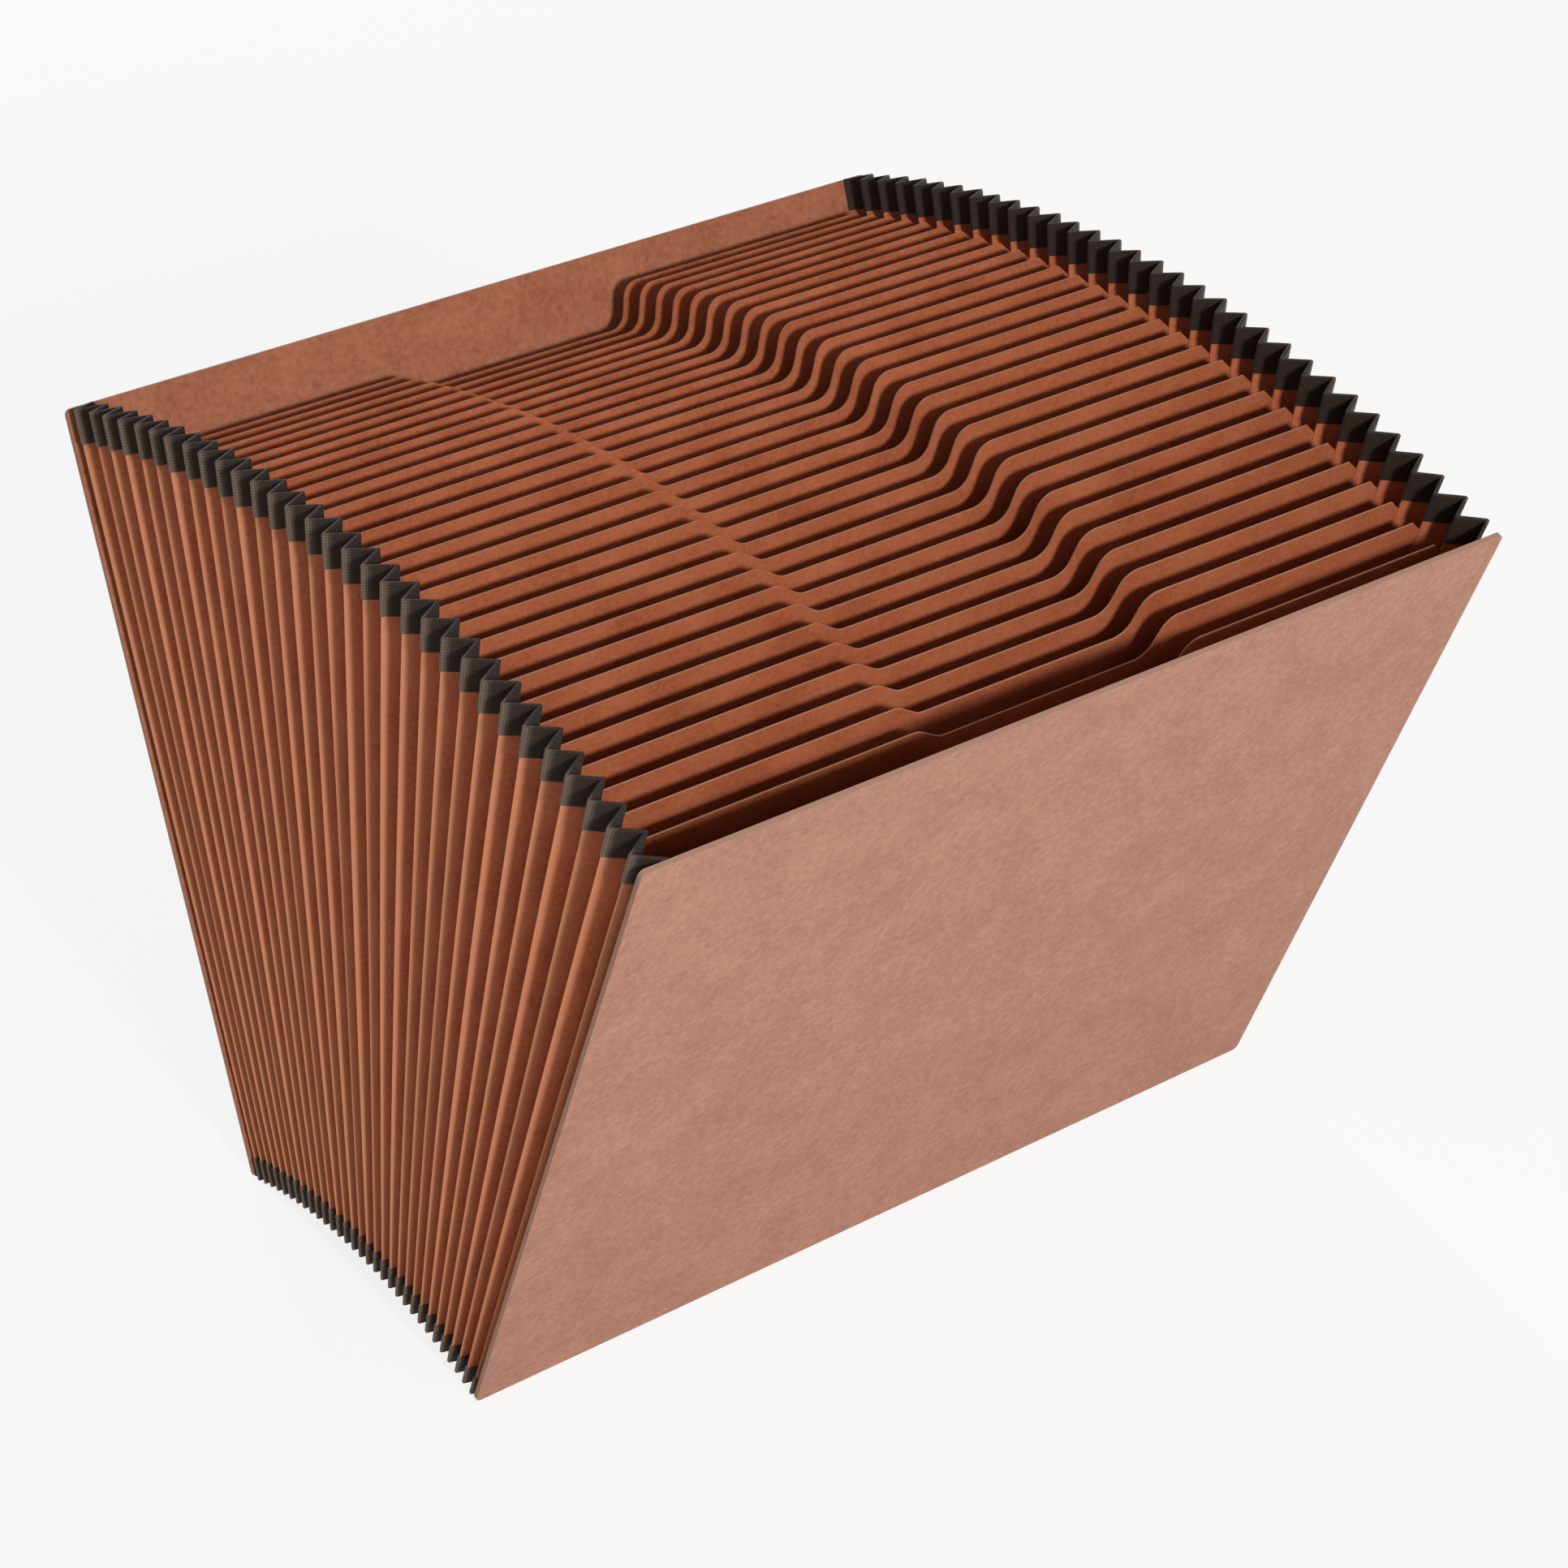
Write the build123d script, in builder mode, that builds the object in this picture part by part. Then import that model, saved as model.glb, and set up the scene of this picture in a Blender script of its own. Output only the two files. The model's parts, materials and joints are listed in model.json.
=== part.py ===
from build123d import *
import os
from math import cos, radians, sin, sqrt

os.makedirs("parts", exist_ok=True)

# Driving sizes, in millimetres and degrees.
board_width = 304.8
board_height = 254.0
board_thickness = 1.6
board_corner_radius = 2.0
pocket_count = 31
fan_angle = 40.0
bottom_pitch = 4.22

# The dividers: their width comes from the gussets, their top edge from these sizes.
divider_thickness = 0.5
left_part_drop = 18.0
middle_part_drop = 24.0
right_part_drop = 10.0
small_step_share = -0.2695
small_step_run = 3.0
rise_share = 0.2934
rise_run = 8.0
rise_radius = 5.0
divider_corner_clip = 4.0

# The gussets, the tapes and the pocket bottoms.
gusset_thickness = 0.35
leaf_length = 9.6
gusset_inset = 9.0
flange_width = 15.0
tape_thickness = 0.25
top_tape_width = 10.5
bottom_tape_width = 7.5
tape_gap = 0.1
bottom_thickness = 0.35
bottom_clearance = 0.3
bottom_fold_depth = 2.9
glue_gap = 0.3

# The fan: every sheet lies on a plane through one axis along X, under the part.
pocket_angle = fan_angle / pocket_count
half_pocket_angle = radians(pocket_angle / 2)
lean_angle = fan_angle / 2
inner_radius = bottom_pitch / radians(pocket_angle)
outer_radius = inner_radius + board_height
fan_axis_height = board_thickness * sin(radians(lean_angle)) - inner_radius * cos(radians(lean_angle))
sheet_angles = [index * pocket_angle - lean_angle for index in range(pocket_count + 1)]
pocket_angles = [angle + pocket_angle / 2 for angle in sheet_angles[:pocket_count]]

# Sizes that follow from the ones above.
gusset_ridge_offset = board_width / 2 - gusset_inset
divider_half_width = gusset_ridge_offset - glue_gap
small_step_centre = divider_half_width * small_step_share
rise_centre = divider_half_width * rise_share
bottom_fold_run = bottom_pitch / 2
bottom_fold_thickness = bottom_thickness * sqrt(bottom_fold_depth**2 + bottom_fold_run**2) / bottom_fold_run
bottom_ridge_radius = inner_radius + bottom_clearance + bottom_fold_thickness + bottom_fold_depth
bottom_valley_radius = bottom_ridge_radius - bottom_fold_depth
divider_bottom_radius = bottom_ridge_radius + glue_gap


def sheet_plane(angle):
    """The plane of a sheet: local x runs across the part, local y away from the fan axis."""
    return Plane(
        origin=(0, 0, fan_axis_height),
        x_dir=(1, 0, 0),
        z_dir=(0, -cos(radians(angle)), -sin(radians(angle))),
    )


def fan_point(radius, angle):
    """A point on the YZ plane at a radius from the fan axis; angles grow towards the front."""
    return (-radius * sin(radians(angle)), fan_axis_height + radius * cos(radians(angle)))


def pocket_location(angle):
    """Where one pocket's fold, drawn about the fan axis, goes in the part."""
    return Plane(
        origin=(0, 0, fan_axis_height),
        x_dir=(1, 0, 0),
        z_dir=(0, -sin(radians(angle)), cos(radians(angle))),
    ).location


def save(builder, name):
    builder.part.label = name
    export_step(builder.part, f"parts/{name}.step")


# The boards lie outside the fan, with their inner faces on its first and last planes.
def board_sheet(angle, thickness):
    with BuildPart() as board:
        with BuildSketch(sheet_plane(angle)):
            with Locations((0, inner_radius + board_height / 2)):
                RectangleRounded(board_width, board_height, board_corner_radius)
        extrude(amount=thickness)
    return board


back_board = board_sheet(sheet_angles[0], -board_thickness)
save(back_board, "back_board")

front_board = board_sheet(sheet_angles[-1], board_thickness)
save(front_board, "front_board")


# The dividers are all alike. Each one has a clipped corner beside each top tape.
def divider_sheet(angle):
    left_top = outer_radius - left_part_drop
    middle_top = outer_radius - middle_part_drop
    right_top = outer_radius - right_part_drop
    top_edge = [
        (-divider_half_width, left_top - divider_corner_clip),
        (divider_corner_clip - divider_half_width, left_top),
        (small_step_centre - small_step_run / 2, left_top),
        (small_step_centre + small_step_run / 2, middle_top),
        (rise_centre - rise_run / 2, middle_top),
        (rise_centre + rise_run / 2, right_top),
        (divider_half_width - divider_corner_clip, right_top),
        (divider_half_width, right_top - divider_corner_clip),
    ]
    top_radii = [0, 0, 0, rise_radius, rise_radius, 0]
    with BuildPart() as divider:
        with BuildSketch(sheet_plane(angle)):
            with BuildLine():
                FilletPolyline(*top_edge, radius=top_radii)
                Polyline(
                    top_edge[-1],
                    (divider_half_width, divider_bottom_radius),
                    (-divider_half_width, divider_bottom_radius),
                    top_edge[0],
                )
            make_face()
        extrude(amount=divider_thickness / 2, both=True)
    return divider


for index in range(1, pocket_count):
    divider = divider_sheet(sheet_angles[index])
    save(divider, f"divider_{index:02d}")


# One pocket's gusset fold is a V across the fan: a ridge at each divider, a tip at the side of the part.
def fold_face(radius, offset):
    """A face of the fold in cross-section; offsets are taken outwards from the gusset's outer face."""
    half_width = radius * sin(half_pocket_angle)
    leaf_run = sqrt(leaf_length**2 - half_width**2)
    valley = gusset_ridge_offset + gusset_thickness
    shift = offset * leaf_length / half_width
    if offset < 0:
        ridge = valley + offset
        ridge_half = half_width - half_width * (offset - shift) / leaf_run
        apex = valley + shift + leaf_run
        return [
            (ridge, half_width),
            (ridge, ridge_half),
            (apex, 0),
            (ridge, -ridge_half),
            (ridge, -half_width),
        ]
    paper_shift = gusset_thickness * leaf_length / half_width
    tip = valley + leaf_run - paper_shift + gusset_thickness + offset
    tip_half = half_width * (valley + shift + leaf_run - tip) / leaf_run
    return [
        (valley + shift, half_width),
        (tip, tip_half),
        (tip, -tip_half),
        (valley + shift, -half_width),
    ]


def folded_band(radii, outer_offset, inner_offset):
    with BuildPart() as band:
        for radius in radii:
            with BuildSketch(Plane.XY.offset(radius * cos(half_pocket_angle))):
                with BuildLine():
                    outline = fold_face(radius, outer_offset) + fold_face(radius, inner_offset)[::-1]
                    Polyline(*outline, close=True)
                make_face()
        loft(ruled=True)
    return band.part


# The gussets: one fold a pocket, and a flange glued to the inside of each board.
tape_head_radius = inner_radius + bottom_tape_width
tape_foot_radius = outer_radius - top_tape_width
gusset_radii = (inner_radius, tape_foot_radius, outer_radius)
gusset_fold = folded_band(gusset_radii, 0, -gusset_thickness)
flange_bottom_radius = tape_head_radius + glue_gap
flange_height = tape_foot_radius - glue_gap - flange_bottom_radius
pocket_locations = [pocket_location(angle) for angle in pocket_angles]

with BuildPart() as right_gusset:
    with Locations(*pocket_locations):
        add(gusset_fold)
    for angle, thickness in ((sheet_angles[0], gusset_thickness), (sheet_angles[-1], -gusset_thickness)):
        with BuildSketch(sheet_plane(angle)):
            with Locations((gusset_ridge_offset + gusset_thickness, flange_bottom_radius)):
                Rectangle(flange_width, flange_height, align=(Align.MAX, Align.MIN))
        extrude(amount=thickness)
save(right_gusset, "right_gusset")

with BuildPart() as left_gusset:
    mirror(right_gusset.part, about=Plane.YZ)
save(left_gusset, "left_gusset")

# The top tapes: a layer on each face of the gusset, joined over its top edge.
tape_outer_offset = tape_gap + tape_thickness
tape_inner_offset = -gusset_thickness - tape_gap - tape_thickness
tape_lining_offset = -gusset_thickness - tape_gap
tape_crest_radius = outer_radius + tape_gap
tape_top_radius = tape_crest_radius + tape_thickness

with BuildPart() as top_tape_fold:
    add(folded_band((tape_foot_radius, tape_crest_radius), tape_outer_offset, tape_gap))
    add(folded_band((tape_foot_radius, tape_crest_radius), tape_lining_offset, tape_inner_offset))
    add(folded_band((tape_crest_radius, tape_top_radius), tape_outer_offset, tape_inner_offset))

with BuildPart() as right_top_tape:
    with Locations(*pocket_locations):
        add(top_tape_fold.part)
save(right_top_tape, "right_top_tape")

with BuildPart() as left_top_tape:
    mirror(right_top_tape.part, about=Plane.YZ)
save(left_top_tape, "left_top_tape")

# The bottom tapes: a layer on the outer face of the gusset, turned in under its bottom edge.
tape_sole_radius = inner_radius - tape_gap
tape_bottom_radius = tape_sole_radius - tape_thickness

with BuildPart() as bottom_tape_fold:
    add(folded_band((tape_sole_radius, tape_head_radius), tape_outer_offset, tape_gap))
    add(folded_band((tape_bottom_radius, tape_sole_radius), tape_outer_offset, -gusset_thickness))

with BuildPart() as right_bottom_tape:
    with Locations(*pocket_locations):
        add(bottom_tape_fold.part)
save(right_bottom_tape, "right_bottom_tape")

with BuildPart() as left_bottom_tape:
    mirror(right_bottom_tape.part, about=Plane.YZ)
save(left_bottom_tape, "left_bottom_tape")

# The pocket bottoms: one sheet, with a ridge under each divider and a V fold under each pocket.
upper_row = [fan_point(bottom_ridge_radius, sheet_angles[0])]
lower_row = [fan_point(bottom_ridge_radius - bottom_fold_thickness, sheet_angles[0])]
for valley_angle, ridge_angle in zip(pocket_angles, sheet_angles[1:]):
    upper_row.append(fan_point(bottom_valley_radius, valley_angle))
    upper_row.append(fan_point(bottom_ridge_radius, ridge_angle))
    lower_row.append(fan_point(bottom_valley_radius - bottom_fold_thickness, valley_angle))
    lower_row.append(fan_point(bottom_ridge_radius - bottom_fold_thickness, ridge_angle))

with BuildPart() as pocket_bottoms:
    with BuildSketch(Plane.YZ):
        with BuildLine():
            Polyline(*upper_row, *lower_row[::-1], close=True)
        make_face()
    extrude(amount=divider_half_width, both=True)
save(pocket_bottoms, "pocket_bottoms")
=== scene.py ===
import json
import random
from math import atan2, ceil, cos, pi, radians, sin, sqrt, tan

import bmesh
import bpy
from mathutils import Matrix, Vector

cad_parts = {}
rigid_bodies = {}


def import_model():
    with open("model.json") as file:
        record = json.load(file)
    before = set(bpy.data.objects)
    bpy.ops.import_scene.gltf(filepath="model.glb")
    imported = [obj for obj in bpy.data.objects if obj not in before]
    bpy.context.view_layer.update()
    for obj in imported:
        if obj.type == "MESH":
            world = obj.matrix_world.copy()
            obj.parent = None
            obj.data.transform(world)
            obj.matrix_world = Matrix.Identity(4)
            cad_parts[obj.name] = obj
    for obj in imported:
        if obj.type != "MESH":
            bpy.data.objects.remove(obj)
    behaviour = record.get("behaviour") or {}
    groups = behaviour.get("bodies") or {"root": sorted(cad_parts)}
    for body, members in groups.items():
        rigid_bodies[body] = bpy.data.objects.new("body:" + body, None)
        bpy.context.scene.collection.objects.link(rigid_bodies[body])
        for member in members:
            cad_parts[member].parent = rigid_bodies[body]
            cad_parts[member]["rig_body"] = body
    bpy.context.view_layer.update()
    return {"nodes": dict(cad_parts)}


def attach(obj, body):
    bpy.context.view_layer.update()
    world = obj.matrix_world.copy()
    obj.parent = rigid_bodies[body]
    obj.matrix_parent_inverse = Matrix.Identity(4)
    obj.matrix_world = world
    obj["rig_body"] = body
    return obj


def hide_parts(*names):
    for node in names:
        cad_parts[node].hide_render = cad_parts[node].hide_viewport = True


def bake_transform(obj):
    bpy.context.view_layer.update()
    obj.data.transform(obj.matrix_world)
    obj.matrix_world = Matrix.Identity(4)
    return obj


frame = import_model()

# Sizes of the folder, in metres and degrees: the same ones that the part's source has.
board_width = 0.3048
board_height = 0.254
board_thickness = 0.0016
pocket_count = 31
fan_angle = 40.0
bottom_pitch = 0.00422
divider_thickness = 0.0005
left_part_drop = 0.018
middle_part_drop = 0.024
right_part_drop = 0.01
small_step_share = -0.2695
rise_share = 0.2934
divider_corner_clip = 0.004
gusset_thickness = 0.00035
leaf_length = 0.0096
gusset_inset = 0.009
flange_width = 0.015
tape_thickness = 0.00025
top_tape_width = 0.0105
bottom_tape_width = 0.0075
tape_gap = 0.0001
bottom_thickness = 0.00035
bottom_clearance = 0.0003
bottom_fold_depth = 0.0029
glue_gap = 0.0003

# The steps of the dividers are nearer to the photograph here than in the part's source: the small one slopes
# more gently, and the rise is steeper and rounder.
small_step_run = 0.009
rise_run = 0.004
step_radius = 0.006

# A tongue at each end of the bottom sheet closes the foot of the gusset's fold.
tongue_length = 0.0069
tongue_taper = 0.0012
tongue_root_share = 0.8
tongue_end_share = 0.1

# How the paper differs from flat sheets and perfect folds.
tip_round = 0.0002
tip_stray = 0.0004
tip_bow = 0.0004
sheet_wave_heights = (0.0007, 0.0004, 0.0002)
sheet_wave_repeat = 16
stray_seed = 31

# How finely the sheets and folds are divided.
fold_rows = 7
column_spacing = 0.012
corner_steps = 6
sheet_row_shares = (0, 0.25, 0.5, 0.7, 0.85, 0.94, 1)
sharp_fold_angle = 28.0

# The fan, as in the part's source: every sheet lies on a plane through one axis along X.
pocket_angle = fan_angle / pocket_count
half_pocket_angle = radians(pocket_angle / 2)
lean_angle = fan_angle / 2
inner_radius = bottom_pitch / radians(pocket_angle)
outer_radius = inner_radius + board_height
fan_axis_height = board_thickness * sin(radians(lean_angle)) - inner_radius * cos(radians(lean_angle))
fan_axis = Vector((0, 0, fan_axis_height))
sheet_angles = [index * pocket_angle - lean_angle for index in range(pocket_count + 1)]
pocket_angles = [angle + pocket_angle / 2 for angle in sheet_angles[:pocket_count]]
gusset_ridge_offset = board_width / 2 - gusset_inset
divider_half_width = gusset_ridge_offset - glue_gap
bottom_fold_run = bottom_pitch / 2
bottom_fold_thickness = bottom_thickness * sqrt(bottom_fold_depth**2 + bottom_fold_run**2) / bottom_fold_run
bottom_ridge_radius = inner_radius + bottom_clearance + bottom_fold_thickness + bottom_fold_depth
bottom_valley_radius = bottom_ridge_radius - bottom_fold_depth
divider_bottom_radius = bottom_ridge_radius + glue_gap
tape_foot_radius = outer_radius - top_tape_width
tape_head_radius = inner_radius + bottom_tape_width
tape_crest_radius = outer_radius + tape_gap
tape_top_radius = tape_crest_radius + tape_thickness
tape_sole_radius = inner_radius - tape_gap
tape_bottom_radius = tape_sole_radius - tape_thickness
tape_outer_offset = tape_gap + tape_thickness
tape_lining_offset = -gusset_thickness - tape_gap
tape_inner_offset = tape_lining_offset - tape_thickness
flange_bottom_radius = tape_head_radius + glue_gap
flange_top_radius = tape_foot_radius - glue_gap

# The sheets from back to front, and the body that each one moves with.
divider_names = [f"divider_{index:02d}" for index in range(1, pocket_count)]
sheet_names = ["back_board", *divider_names, "front_board"]
sheet_bodies = [frame["nodes"][name]["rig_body"] for name in sheet_names]


# Materials
def colour(hex_code):
    """An sRGB hex code as linear red, green, blue and alpha."""
    channels = []
    for start in (1, 3, 5):
        value = int(hex_code[start:start + 2], 16) / 255
        channels.append(value / 12.92 if value <= 0.04045 else ((value + 0.055) / 1.055) ** 2.4)
    return (*channels, 1.0)


def add_node(owner, kind, inputs, stops=(), **settings):
    """Adds a shader node. Each input is a value or another node's output; stops are a colour ramp's."""
    node = owner.node_tree.nodes.new(kind)
    for name, value in settings.items():
        setattr(node, name, value)
    for key, value in inputs.items():
        if isinstance(value, bpy.types.NodeSocket):
            owner.node_tree.links.new(value, node.inputs[key])
        else:
            node.inputs[key].default_value = value
    for index, (place, code) in enumerate(stops):
        elements = node.color_ramp.elements
        element = elements[index] if index < len(elements) else elements.new(place)
        element.position = place
        element.color = colour(code)
    return node


def new_material(name):
    material = bpy.data.materials.new(name)
    material.use_nodes = True
    return material, material.node_tree.nodes["Principled BSDF"]


# Values that more than one material uses.
paper_ior = 1.5
paper_gloss_share = 0.25
mottle_stop_shares = (0.34, 0.5, 0.66)
flat_face_limit_share = 0.7
# How far from a fold's tip the wear and the painted highlight reach.
wear_and_highlight_width = 0.0035


def set_finish(material, shader, base, normal, roughness, sheen=0.0):
    """Links a pattern and a bump to the shader, and sets what is the same all over."""
    links = material.node_tree.links
    links.new(base, shader.inputs["Base Color"])
    links.new(normal, shader.inputs["Normal"])
    shader.inputs["Roughness"].default_value = roughness
    shader.inputs["IOR"].default_value = paper_ior
    shader.inputs["Specular IOR Level"].default_value = paper_gloss_share
    shader.inputs["Sheen Weight"].default_value = sheen


def cut_edges(material):
    """Is 1 on the cut edges of a standing sheet and none on its faces."""
    normal = add_node(material, "ShaderNodeNewGeometry", {}).outputs["Normal"]
    facing = add_node(material, "ShaderNodeSeparateXYZ", {"Vector": normal})
    tilt = add_node(material, "ShaderNodeMath", {0: facing.outputs["Y"]}, operation="ABSOLUTE")
    edges = add_node(
        material, "ShaderNodeMath",
        {0: tilt.outputs["Value"], 1: flat_face_limit_share}, operation="LESS_THAN",
    )
    return edges.outputs["Value"]


def outward_faces(material):
    """Is 1 on the side of a board that faces away from the middle of the folder."""
    geometry = add_node(material, "ShaderNodeNewGeometry", {})
    facing = add_node(material, "ShaderNodeSeparateXYZ", {"Vector": geometry.outputs["Normal"]})
    place = add_node(material, "ShaderNodeSeparateXYZ", {"Vector": geometry.outputs["Position"]})
    side = add_node(
        material, "ShaderNodeMath", {0: facing.outputs["Y"], 1: place.outputs["Y"]}, operation="MULTIPLY"
    )
    outward = add_node(
        material, "ShaderNodeMath", {0: side.outputs["Value"], 1: 0.0}, operation="GREATER_THAN"
    )
    return outward.outputs["Value"]


def rubbed_and_lit_tips(material):
    """Grows from none to 1 at the outer folds of a folded strip, whose u starts at a ridge."""
    # Lightens the outer folds, partly for wear and partly as a painted highlight.
    place = add_node(material, "ShaderNodeTexCoord", {}).outputs["UV"]
    strip = add_node(material, "ShaderNodeSeparateXYZ", {"Vector": place})
    from_ridge = add_node(
        material, "ShaderNodeMath", {0: strip.outputs["X"], 1: leaf_length}, operation="PINGPONG"
    )
    rubbed_and_lit_from = leaf_length - wear_and_highlight_width
    near_tip = add_node(
        material, "ShaderNodeMapRange",
        {"Value": from_ridge.outputs["Value"], "From Min": rubbed_and_lit_from, "From Max": leaf_length},
        interpolation_type="SMOOTHSTEP",
    )
    outside = add_node(material, "ShaderNodeAttribute", {}, attribute_name="outside").outputs["Fac"]
    rubbed_and_lit = add_node(
        material, "ShaderNodeMath", {0: near_tip.outputs["Result"], 1: outside}, operation="MULTIPLY"
    )
    return rubbed_and_lit.outputs["Value"]


# Calendered fibre board: pressed paper fibre, so a matt face with pale and dark flecks and a paler cut edge.
board_outside_codes = ("#A17260", "#AF7F6C", "#BD8D7A")
board_inside_codes = ("#96563B", "#AA694B", "#B77658")
board_edge_code = "#B58A76"
board_roughness = 0.72
board_cloud_size = 0.016
board_cloud_detail = 3.0
board_cloud_roughness = 0.55
board_fleck_size = 0.0022
board_fleck_detail = 4.0
board_fleck_roughness = 0.7
board_fleck_share = 0.7
board_fibre_size = 0.0009
board_fibre_detail = 2.0
board_bump_strength = 0.5
board_bump_depth = 0.00008


def fibre_board():
    material, shader = new_material("calendered_fibre_board")
    place = add_node(material, "ShaderNodeTexCoord", {}).outputs["Object"]
    clouds = add_node(material, "ShaderNodeTexNoise", {
        "Vector": place,
        "Scale": 1 / board_cloud_size,
        "Detail": board_cloud_detail,
        "Roughness": board_cloud_roughness,
    })
    flecks = add_node(material, "ShaderNodeTexNoise", {
        "Vector": place,
        "Scale": 1 / board_fleck_size,
        "Detail": board_fleck_detail,
        "Roughness": board_fleck_roughness,
    })
    pattern = add_node(
        material, "ShaderNodeMix",
        {"Factor": board_fleck_share, "A": clouds.outputs["Fac"], "B": flecks.outputs["Fac"]},
    )
    outside, inside = [
        add_node(
            material, "ShaderNodeValToRGB",
            {"Fac": pattern.outputs["Result"]}, stops=zip(mottle_stop_shares, codes),
        )
        for codes in (board_outside_codes, board_inside_codes)
    ]
    lined = add_node(
        material, "ShaderNodeMix",
        {"Factor": outward_faces(material), "A": inside.outputs["Color"], "B": outside.outputs["Color"]},
        data_type="RGBA",
    )
    base = add_node(
        material, "ShaderNodeMix",
        {"Factor": cut_edges(material), "A": lined.outputs["Result"], "B": colour(board_edge_code)},
        data_type="RGBA",
    )
    fibres = add_node(
        material, "ShaderNodeTexNoise",
        {"Vector": place, "Scale": 1 / board_fibre_size, "Detail": board_fibre_detail},
    )
    bump = add_node(
        material, "ShaderNodeBump",
        {"Height": fibres.outputs["Fac"], "Strength": board_bump_strength, "Distance": board_bump_depth},
    )
    set_finish(material, shader, base.outputs["Result"], bump.outputs["Normal"], board_roughness)
    return material


# Red rope paper: a tough brown fibre paper, matt, with soft clouds and fine fibres, and pale where it is
# cut or rubbed, the pale of the outer folds being partly a painted highlight.
sheet_codes = ("#9C502F", "#AE613E", "#BC6E4A")
sheet_edge_code = "#B47E62"
fold_codes = ("#A85736", "#BB6845", "#CA7653")
# Pale at the outer folds of the gussets: partly wear, partly a painted highlight.
fold_rubbed_and_lit_code = "#C8845F"
paper_roughness = 0.8
paper_cloud_size = 0.02
paper_cloud_detail = 3.0
paper_cloud_roughness = 0.5
paper_fibre_size = 0.0014
paper_fibre_detail = 4.0
paper_fibre_roughness = 0.65
paper_fibre_share = 0.55
paper_bump_strength = 0.5
paper_bump_depth = 0.00006


def rope_paper(name, coordinates, codes, pale_places, pale_code):
    material, shader = new_material(name)
    place = add_node(material, "ShaderNodeTexCoord", {}).outputs[coordinates]
    clouds = add_node(material, "ShaderNodeTexNoise", {
        "Vector": place,
        "Scale": 1 / paper_cloud_size,
        "Detail": paper_cloud_detail,
        "Roughness": paper_cloud_roughness,
    })
    fibres = add_node(material, "ShaderNodeTexNoise", {
        "Vector": place,
        "Scale": 1 / paper_fibre_size,
        "Detail": paper_fibre_detail,
        "Roughness": paper_fibre_roughness,
    })
    pattern = add_node(
        material, "ShaderNodeMix",
        {"Factor": paper_fibre_share, "A": clouds.outputs["Fac"], "B": fibres.outputs["Fac"]},
    )
    paper = add_node(
        material, "ShaderNodeValToRGB",
        {"Fac": pattern.outputs["Result"]}, stops=zip(mottle_stop_shares, codes),
    )
    base = add_node(
        material, "ShaderNodeMix",
        {"Factor": pale_places(material), "A": paper.outputs["Color"], "B": colour(pale_code)},
        data_type="RGBA",
    )
    bump = add_node(
        material, "ShaderNodeBump",
        {"Height": fibres.outputs["Fac"], "Strength": paper_bump_strength, "Distance": paper_bump_depth},
    )
    set_finish(material, shader, base.outputs["Result"], bump.outputs["Normal"], paper_roughness)
    return material


# Woven book cloth: black threads over and under, a faint sheen, grey wear and painted highlight on outer
# folds.
cloth_dark_codes = ("#1D1511", "#291E18", "#362820")
# Grey of the outer folds: partly wear, partly a painted highlight.
cloth_worn_and_lit_codes = ("#55463B", "#6C5B4E", "#827062")
cloth_roughness = 0.7
cloth_sheen = 0.05
weave_stop_shares = (0.0, 0.5, 1.0)
# Real threads are about half this far apart, which is too fine to show.
thread_spacing = 0.0009
thread_wobble = 0.6
thread_bump_strength = 0.6
thread_bump_depth = 0.0001
# A wave texture of scale 1 repeats every tenth of pi.
wave_repeat = pi / 10


def book_cloth():
    material, shader = new_material("woven_book_cloth")
    place = add_node(material, "ShaderNodeTexCoord", {}).outputs["UV"]
    threads = add_node(material, "ShaderNodeTexChecker", {"Vector": place, "Scale": 1 / thread_spacing})
    along, across = [
        add_node(
            material, "ShaderNodeTexWave",
            {"Vector": place, "Scale": wave_repeat / thread_spacing, "Distortion": thread_wobble},
            bands_direction=direction,
        )
        for direction in ("X", "Y")
    ]
    weave = add_node(
        material, "ShaderNodeMix",
        {"Factor": threads.outputs["Fac"], "A": along.outputs["Fac"], "B": across.outputs["Fac"]},
    )
    dark, worn_and_lit = [
        add_node(
            material, "ShaderNodeValToRGB",
            {"Fac": weave.outputs["Result"]}, stops=zip(weave_stop_shares, codes),
        )
        for codes in (cloth_dark_codes, cloth_worn_and_lit_codes)
    ]
    base = add_node(
        material, "ShaderNodeMix",
        {"Factor": rubbed_and_lit_tips(material), "A": dark.outputs["Color"], "B": worn_and_lit.outputs["Color"]},
        data_type="RGBA",
    )
    bump = add_node(
        material, "ShaderNodeBump",
        {"Height": weave.outputs["Result"], "Strength": thread_bump_strength, "Distance": thread_bump_depth},
    )
    set_finish(
        material, shader, base.outputs["Result"], bump.outputs["Normal"], cloth_roughness, sheen=cloth_sheen
    )
    return material


board_material = fibre_board()
divider_material = rope_paper("red_rope_paper_sheets", "Object", sheet_codes, cut_edges, sheet_edge_code)
gusset_material = rope_paper("red_rope_paper_folds", "UV", fold_codes, rubbed_and_lit_tips, fold_rubbed_and_lit_code)
tape_material = book_cloth()

for name in ("back_board", "front_board"):
    frame["nodes"][name].material_slots[0].material = board_material


# Pieces
def make_piece(name, mesh_data, material):
    """Makes an object of a mesh; edges between faces that turn sharply stay sharp."""
    bmesh.ops.recalc_face_normals(mesh_data, faces=mesh_data.faces)
    for face in mesh_data.faces:
        face.smooth = True
    for edge in mesh_data.edges:
        edge.smooth = edge.calc_face_angle(0.0) < radians(sharp_fold_angle)
    mesh = bpy.data.meshes.new(name)
    mesh_data.to_mesh(mesh)
    mesh_data.free()
    mesh.materials.append(material)
    piece = bpy.data.objects.new(name, mesh)
    bpy.context.scene.collection.objects.link(piece)
    return piece


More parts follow.
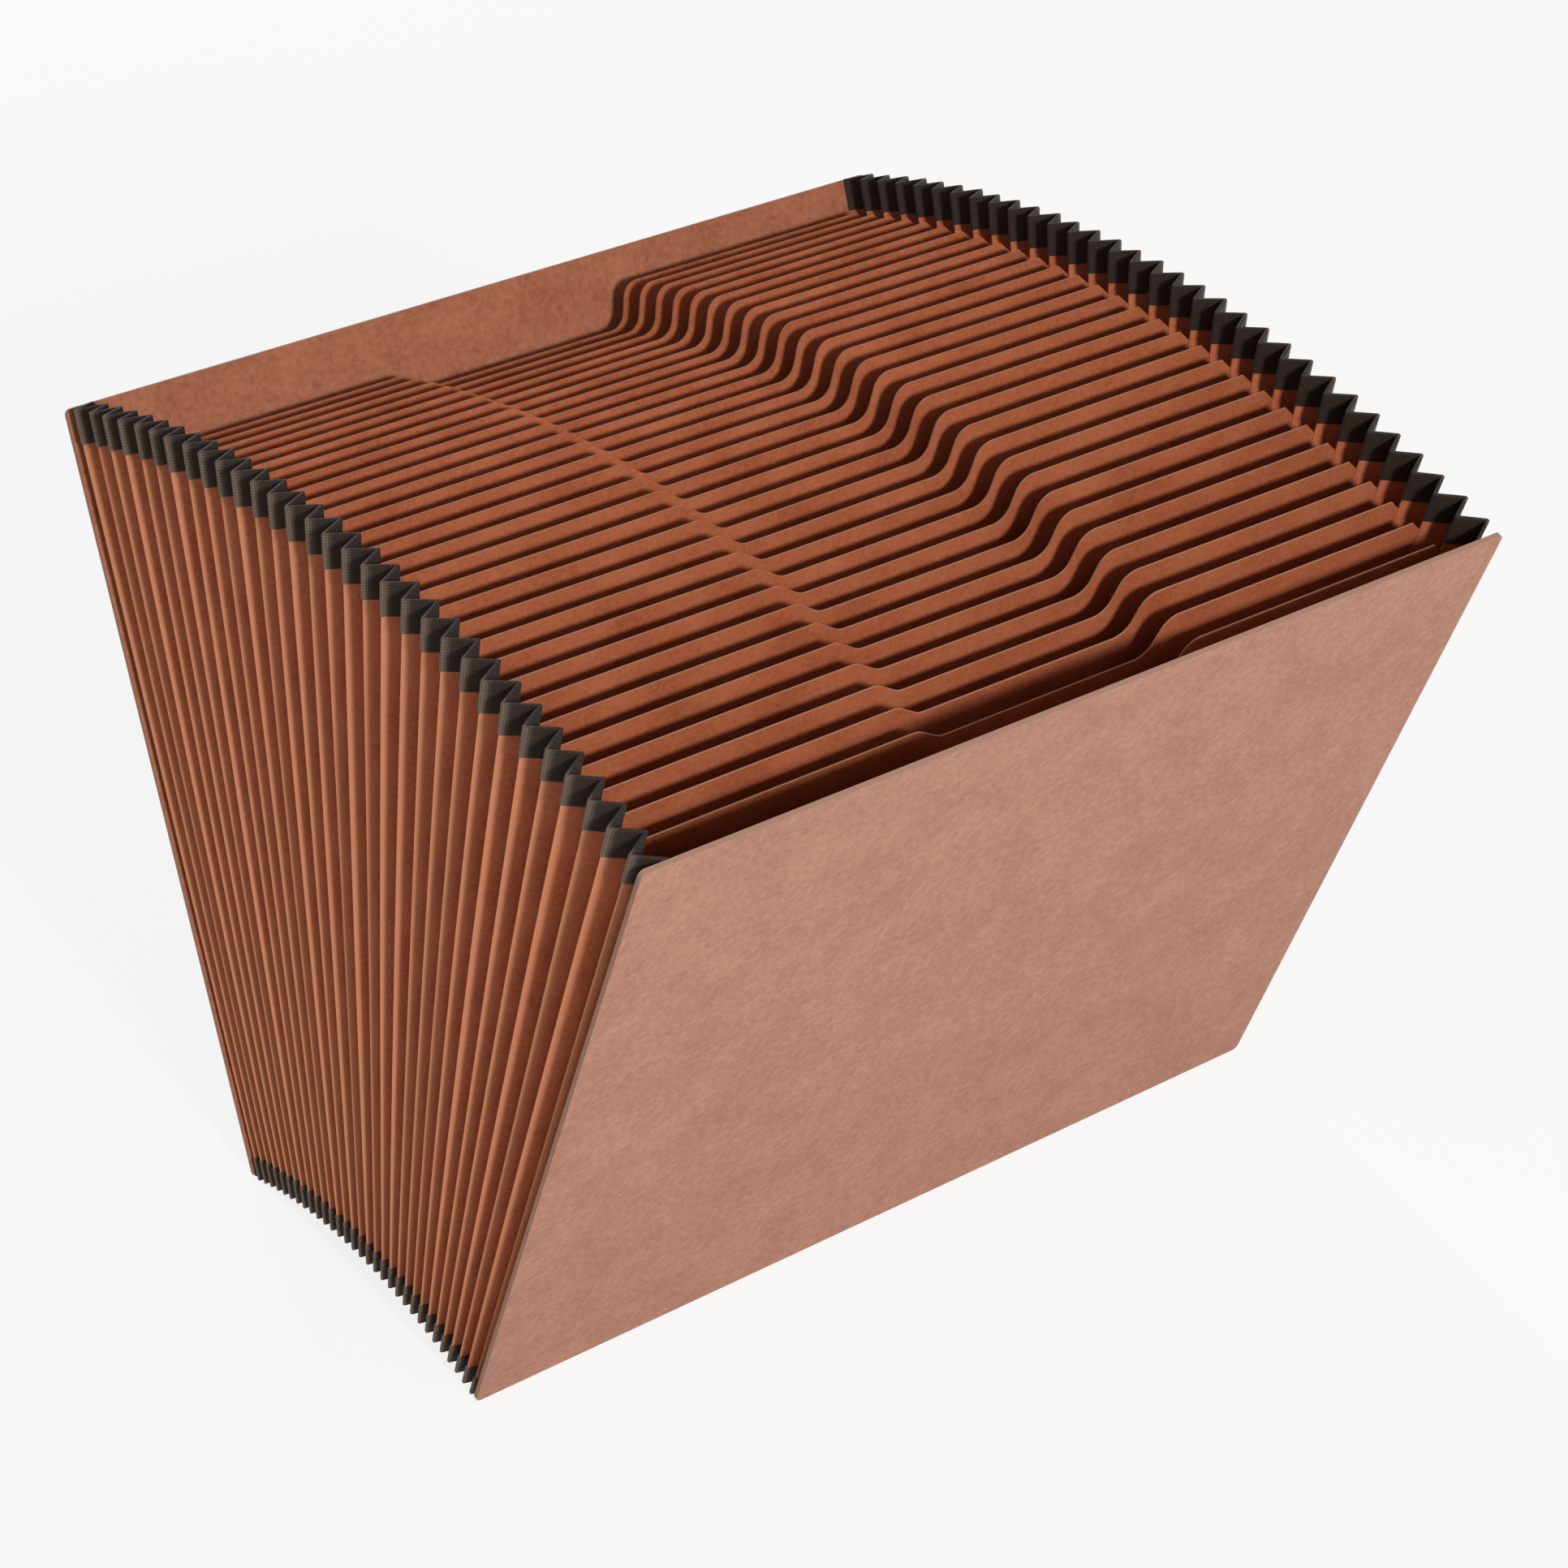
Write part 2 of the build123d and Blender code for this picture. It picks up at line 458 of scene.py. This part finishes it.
def sheet_point(angle, x, radius, outward):
    """A point on or beside a sheet's plane; outward is towards the front."""
    turn = radians(angle)
    return fan_axis + Vector((
        x, -radius * sin(turn) - outward * cos(turn), radius * cos(turn) - outward * sin(turn)
    ))


def close_layers(mesh_data, layers):
    """Adds the faces of two like grids of vertices, and the strip that joins them round their border."""
    lower, upper = layers
    for grid in layers:
        for line, following in zip(grid, grid[1:]):
            for row in range(len(line) - 1):
                mesh_data.faces.new((line[row], following[row], following[row + 1], line[row + 1]))
    for row in (0, -1):
        for column in range(len(lower) - 1):
            mesh_data.faces.new(
                (lower[column][row], lower[column + 1][row], upper[column + 1][row], upper[column][row])
            )
    for column in (0, -1):
        for row in range(len(lower[0]) - 1):
            mesh_data.faces.new(
                (lower[column][row], lower[column][row + 1], upper[column][row + 1], upper[column][row])
            )


# Dividers: paper sheets that wave a little between the glued edges at their sides and bottom.
def rounded_corner(before, corner, after):
    """Points along the arc that rounds a corner of a divider's top edge."""
    heading = (corner - before).normalized()
    leaving = (after - corner).normalized()
    turn = atan2(heading.cross(leaving), heading.dot(leaving))
    start = corner - heading * step_radius * tan(abs(turn) / 2)
    points = []
    for step in range(corner_steps + 1):
        half_turn = turn * step / corner_steps / 2
        chord = 2 * step_radius * sin(abs(half_turn))
        points.append(start + Matrix.Rotation(half_turn, 2) @ heading * chord)
    return points


def divider_top_edge():
    """Points along the top edge, as x and radius, near enough to each other for the sheet to wave."""
    left_top = outer_radius - left_part_drop
    middle_top = outer_radius - middle_part_drop
    right_top = outer_radius - right_part_drop
    small_step_centre = divider_half_width * small_step_share
    rise_centre = divider_half_width * rise_share
    corners = [Vector(point) for point in (
        (-divider_half_width, left_top - divider_corner_clip),
        (divider_corner_clip - divider_half_width, left_top),
        (small_step_centre - small_step_run / 2, left_top),
        (small_step_centre + small_step_run / 2, middle_top),
        (rise_centre - rise_run / 2, middle_top),
        (rise_centre + rise_run / 2, right_top),
        (divider_half_width - divider_corner_clip, right_top),
        (divider_half_width, right_top - divider_corner_clip),
    )]
    edge = corners[:2]
    for index in range(2, len(corners) - 2):
        edge += rounded_corner(*corners[index - 1:index + 2])
    edge += corners[-2:]
    points = [edge[0]]
    for point in edge[1:]:
        start = points[-1]
        parts = ceil((point - start).length / column_spacing)
        points += [start.lerp(point, part / parts) for part in range(1, parts + 1)]
    return points


def sheet_wave(index, along):
    """How far a sheet waves; neighbours wave almost alike, to clear each other in the closed folder."""
    wave = 0.0
    for mode, (height, start) in enumerate(zip(sheet_wave_heights, sheet_wave_starts), 1):
        wave += height * sin(pi * mode * along) * sin(2 * pi * (index / sheet_wave_repeat + start))
    return wave * sin(pi * index / pocket_count)


def divider_piece(index, top_edge):
    mesh_data = bmesh.new()
    layers = []
    for face_side in (-1, 1):
        grid = []
        for x, top in top_edge:
            along = (x / divider_half_width + 1) / 2
            wave = sheet_wave(index, along)
            line = []
            for share in sheet_row_shares:
                radius = divider_bottom_radius + (top - divider_bottom_radius) * share
                outward = wave * share**2 + face_side * divider_thickness / 2
                line.append(mesh_data.verts.new(sheet_point(sheet_angles[index], x, radius, outward)))
            grid.append(line)
        layers.append(grid)
    close_layers(mesh_data, layers)
    piece = make_piece(f"{sheet_names[index]}_sheet", mesh_data, divider_material)
    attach(piece, sheet_bodies[index])
    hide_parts(sheet_names[index])


strays = random.Random(stray_seed)
sheet_wave_starts = [strays.random() for height in sheet_wave_heights]
top_edge = divider_top_edge()
for index in range(1, pocket_count):
    divider_piece(index, top_edge)


# Folded pieces: each pocket has its own fold of the gussets, the tapes and the bottom sheet.
def pocket_point(pocket, x, across, radius):
    """A point of a pocket: x from the middle, across towards the front, radius along its middle plane."""
    return sheet_point(pocket_angles[pocket], x, radius * cos(half_pocket_angle), across)


def follow_pocket(piece, node_names):
    """Bakes a piece's place into its mesh and hides the parts of the model that it stands in for."""
    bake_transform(piece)
    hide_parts(*node_names)


def fold_row(radius, offset, stray):
    """One row of a fold, from its back ridge round its tip to its front ridge, as (x, across) points."""
    half_width = radius * sin(half_pocket_angle)
    leaf_run = sqrt(leaf_length**2 - half_width**2)
    valley = gusset_ridge_offset + gusset_thickness
    shift = offset * leaf_length / half_width
    if offset < 0:
        ridge = valley + offset
        ridge_half = half_width - half_width * (offset - shift) / leaf_run
        apex = valley + shift + leaf_run + stray
        return [
            (ridge, -half_width), (ridge, -ridge_half), (apex, 0), (ridge, ridge_half), (ridge, half_width),
        ]
    paper_shift = gusset_thickness * leaf_length / half_width
    tip = valley + leaf_run - paper_shift + gusset_thickness + offset + stray
    corner_half = tip_round + offset
    return [
        (valley + shift, -half_width), (tip - tip_round, -corner_half), (tip, 0),
        (tip - tip_round, corner_half), (valley + shift, half_width),
    ]


def strip_places(pocket, points, run):
    """Where the points of a row lie on the unfolded strip: u along it from pocket to pocket, v across it."""
    lengths = [0.0]
    for before, after in zip(points, points[1:]):
        lengths.append(lengths[-1] + (after - before).length)
    return [(2 * leaf_length * (pocket + length / lengths[-1]), run) for length in lengths]


def folded_piece(name, pocket, rows, material, node_names):
    """A closed strip of rows round one pocket's fold, on both sides of the folder."""
    mesh_data = bmesh.new()
    strip_layer = mesh_data.loops.layers.uv.new("strip")
    outside_layer = mesh_data.verts.layers.float.new("outside")
    for side in (-1, 1):
        rings = []
        run = 0.0
        last_tip = None
        for radius, offset, stray in rows:
            row = fold_row(radius, offset, stray)
            points = [pocket_point(pocket, side * x, across, radius) for x, across in row]
            tip = points[len(points) // 2]
            run += (tip - last_tip).length if last_tip else 0.0
            last_tip = tip
            vertices = [mesh_data.verts.new(point) for point in points]
            for vertex in vertices:
                vertex[outside_layer] = 1.0 if offset >= 0 else 0.0
            rings.append(list(zip(vertices, strip_places(pocket, points, run))))
        for ring, following in zip(rings, rings[1:] + rings[:1]):
            for index in range(len(ring) - 1):
                corners = (ring[index], ring[index + 1], following[index + 1], following[index])
                face = mesh_data.faces.new([vertex for vertex, place in corners])
                for loop, (vertex, place) in zip(face.loops, corners):
                    loop[strip_layer].uv = place
        for end in (0, -1):
            mesh_data.faces.new([ring[end][0] for ring in rings])
    follow_pocket(make_piece(name, mesh_data, material), node_names)


def bottom_piece(name, pocket):
    """The V fold of the bottom sheet under one pocket, which narrows to a tongue at each end."""
    mesh_data = bmesh.new()
    strip_layer = mesh_data.loops.layers.uv.new("strip")
    ridge_half = bottom_ridge_radius * sin(half_pocket_angle)
    valley_radius = bottom_valley_radius / cos(half_pocket_angle)
    right_columns = [
        (divider_half_width - tongue_taper, 1.0),
        (divider_half_width, tongue_root_share),
        (divider_half_width + tongue_length, tongue_end_share),
    ]
    columns = [(-x, share) for x, share in reversed(right_columns)] + right_columns
    layers = []
    for depth in (0.0, bottom_fold_thickness):
        grid = []
        for x, share in columns:
            side_radius = valley_radius + (bottom_ridge_radius - valley_radius) * share
            section = (
                (-ridge_half * share, side_radius - depth),
                (0, valley_radius - depth),
                (ridge_half * share, side_radius - depth),
            )
            grid.append(
                [mesh_data.verts.new(pocket_point(pocket, x, across, radius)) for across, radius in section]
            )
        layers.append(grid)
    close_layers(mesh_data, layers)
    for face in mesh_data.faces:
        for loop in face.loops:
            loop[strip_layer].uv = (loop.vert.co.x, loop.vert.co.y)
    follow_pocket(make_piece(name, mesh_data, gusset_material), ("pocket_bottoms",))


def stray_at(radius, stray, bow):
    """How far out of line a fold's tip is: none at its bottom, with a bow towards its middle."""
    share = (radius - inner_radius) / board_height
    return stray * share + bow * sin(pi * share)


gusset_radii = [inner_radius + board_height * row / (fold_rows - 1) for row in range(fold_rows)]
gusset_rows = [(radius, 0.0) for radius in gusset_radii]
gusset_rows += [(radius, -gusset_thickness) for radius in reversed(gusset_radii)]
top_tape_rows = (
    (tape_foot_radius, tape_outer_offset),
    (tape_crest_radius, tape_outer_offset),
    (tape_top_radius, tape_gap),
    (tape_top_radius, tape_lining_offset),
    (tape_crest_radius, tape_inner_offset),
    (tape_foot_radius, tape_inner_offset),
    (tape_foot_radius, tape_lining_offset),
    (tape_crest_radius, tape_lining_offset),
    (tape_crest_radius, tape_gap),
    (tape_foot_radius, tape_gap),
)
bottom_tape_rows = (
    (tape_bottom_radius, -gusset_thickness),
    (tape_bottom_radius, tape_outer_offset),
    (tape_head_radius, tape_outer_offset),
    (tape_head_radius, tape_gap),
    (tape_sole_radius, tape_gap),
    (tape_sole_radius, -gusset_thickness),
)
gusset_nodes = ("left_gusset", "right_gusset")
top_tape_nodes = ("left_top_tape", "right_top_tape")
bottom_tape_nodes = ("left_bottom_tape", "right_bottom_tape")
folded_strips = (
    ("pleats", gusset_rows, gusset_material, gusset_nodes, "gusset_paper"),
    ("top_tapes", top_tape_rows, tape_material, top_tape_nodes, "tape_cloth"),
    ("bottom_tapes", bottom_tape_rows, tape_material, bottom_tape_nodes, "tape_cloth"),
)

for pocket in range(pocket_count):
    pocket_name = f"pocket_{pocket + 1:02d}"
    stray = strays.uniform(-tip_stray, tip_stray)
    bow = strays.uniform(-tip_bow, tip_bow)
    for strip_name, rows, material, node_names, slot_name in folded_strips:
        stray_rows = [(radius, offset, stray_at(radius, stray, bow)) for radius, offset in rows]
        folded_piece(f"{pocket_name}_{strip_name}", pocket, stray_rows, material, node_names)
    bottom_piece(f"{pocket_name}_bottom", pocket)


# Flanges: the ends of the gussets, glued to the inside of each board.
def flange_pair(board_name, angle, inward):
    mesh_data = bmesh.new()
    strip_layer = mesh_data.loops.layers.uv.new("strip")
    outer_edge = gusset_ridge_offset + gusset_thickness
    for side in (-1, 1):
        layers = []
        for depth in (0.0, gusset_thickness):
            layers.append([
                [
                    mesh_data.verts.new(sheet_point(angle, side * x, radius, depth * inward))
                    for radius in (flange_bottom_radius, flange_top_radius)
                ]
                for x in (outer_edge - flange_width, outer_edge)
            ])
        close_layers(mesh_data, layers)
    for face in mesh_data.faces:
        for loop in face.loops:
            loop[strip_layer].uv = (loop.vert.co.x, loop.vert.co.z)
    piece = make_piece(f"{board_name}_flanges", mesh_data, gusset_material)
    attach(piece, board_name)
    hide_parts("left_gusset", "right_gusset")


flange_pair("back_board", sheet_angles[0], 1)
flange_pair("front_board", sheet_angles[-1], -1)

# Floor: matt and white, lifted towards pure white where it is seen, so that a faint shadow stays.
floor_code = "#F2F2F1"
floor_roughness = 0.9
floor_size = 12.0
floor_lift_share = 0.85
white = colour("#FFFFFF")


def seen_rays(owner):
    """Is 1 for rays that see the floor or the backdrop, and none for rays that only carry its light."""
    rays = add_node(owner, "ShaderNodeLightPath", {})
    seen = add_node(
        owner, "ShaderNodeMath",
        {0: rays.outputs["Is Camera Ray"], 1: rays.outputs["Is Glossy Ray"]}, operation="MAXIMUM",
    )
    seen_through = add_node(
        owner, "ShaderNodeMath",
        {0: seen.outputs["Value"], 1: rays.outputs["Is Transmission Ray"]}, operation="MAXIMUM",
    )
    return seen_through.outputs["Value"]


def white_sweep():
    material, shader = new_material("matt_white_sweep")
    shader.inputs["Base Color"].default_value = colour(floor_code)
    shader.inputs["Roughness"].default_value = floor_roughness
    shader.inputs["Specular IOR Level"].default_value = 0.0
    lift = add_node(
        material, "ShaderNodeMath", {0: seen_rays(material), 1: floor_lift_share}, operation="MULTIPLY"
    )
    glow = add_node(material, "ShaderNodeEmission", {"Color": white, "Strength": 1.0})
    surface = add_node(
        material, "ShaderNodeMixShader",
        {0: lift.outputs["Value"], 1: shader.outputs["BSDF"], 2: glow.outputs["Emission"]},
    )
    output = material.node_tree.nodes["Material Output"]
    material.node_tree.links.new(surface.outputs["Shader"], output.inputs["Surface"])
    return material


reach = floor_size / 2
floor_mesh = bpy.data.meshes.new("floor")
floor_mesh.from_pydata(
    [(-reach, -reach, 0), (reach, -reach, 0), (reach, reach, 0), (-reach, reach, 0)], [], [(0, 1, 2, 3)]
)
floor_mesh.materials.append(white_sweep())
floor = bpy.data.objects.new("floor", floor_mesh)
bpy.context.scene.collection.objects.link(floor)

# Light: an even white surround, a soft lamp in front, a little to the left, and a weaker one behind.
surround_strength = 0.25
backdrop_strength = 0.9
front_lamp_power = 47.0
front_lamp_azimuth = -10.0
front_lamp_elevation = 25.0
back_lamp_power = 18.0
back_lamp_azimuth = 165.0
back_lamp_elevation = 22.0
lamp_size = 0.4
lamp_distance = 2.6
lamp_target_height = 0.15
lamp_target = Vector((0, 0, lamp_target_height))

world = bpy.data.worlds.new("studio")
world.use_nodes = True
bpy.context.scene.world = world
sky = world.node_tree.nodes["Background"]
sky.inputs["Color"].default_value = white
strength = add_node(
    world, "ShaderNodeMix", {"Factor": seen_rays(world), "A": surround_strength, "B": backdrop_strength}
)
world.node_tree.links.new(strength.outputs["Result"], sky.inputs["Strength"])


def soft_lamp(name, power, azimuth, elevation):
    """A round soft lamp, placed by the direction from which it lights the folder."""
    level = cos(radians(elevation))
    towards_lamp = Vector((
        sin(radians(azimuth)) * level, -cos(radians(azimuth)) * level, sin(radians(elevation))
    ))
    lamp_data = bpy.data.lights.new(name, "AREA")
    lamp_data.energy = power
    lamp_data.shape = "DISK"
    lamp_data.size = lamp_size
    lamp = bpy.data.objects.new(name, lamp_data)
    lamp.location = lamp_target + towards_lamp * lamp_distance
    lamp.rotation_euler = towards_lamp.to_track_quat("Z", "Y").to_euler()
    bpy.context.scene.collection.objects.link(lamp)


soft_lamp("front_lamp", front_lamp_power, front_lamp_azimuth, front_lamp_elevation)
soft_lamp("back_lamp", back_lamp_power, back_lamp_azimuth, back_lamp_elevation)

# Camera: at the photograph's angle.
camera_azimuth = -37.366
camera_elevation = 32.9535
camera_roll = 1.2717
camera_place = Vector((-0.6234, -0.8271, 0.7998))
camera_lens = 91.05
camera_sensor = 36.0
right_angle = 90.0

camera_data = bpy.data.cameras.new("camera")
camera_data.lens = camera_lens
camera_data.sensor_width = camera_sensor
camera = bpy.data.objects.new("camera", camera_data)
camera.matrix_world = (
    Matrix.Translation(camera_place)
    @ Matrix.Rotation(radians(camera_azimuth), 4, "Z")
    @ Matrix.Rotation(radians(right_angle - camera_elevation), 4, "X")
    @ Matrix.Rotation(radians(camera_roll), 4, "Z")
)
bpy.context.scene.collection.objects.link(camera)
bpy.context.scene.camera = camera
bpy.context.scene.view_settings.view_transform = "Standard"
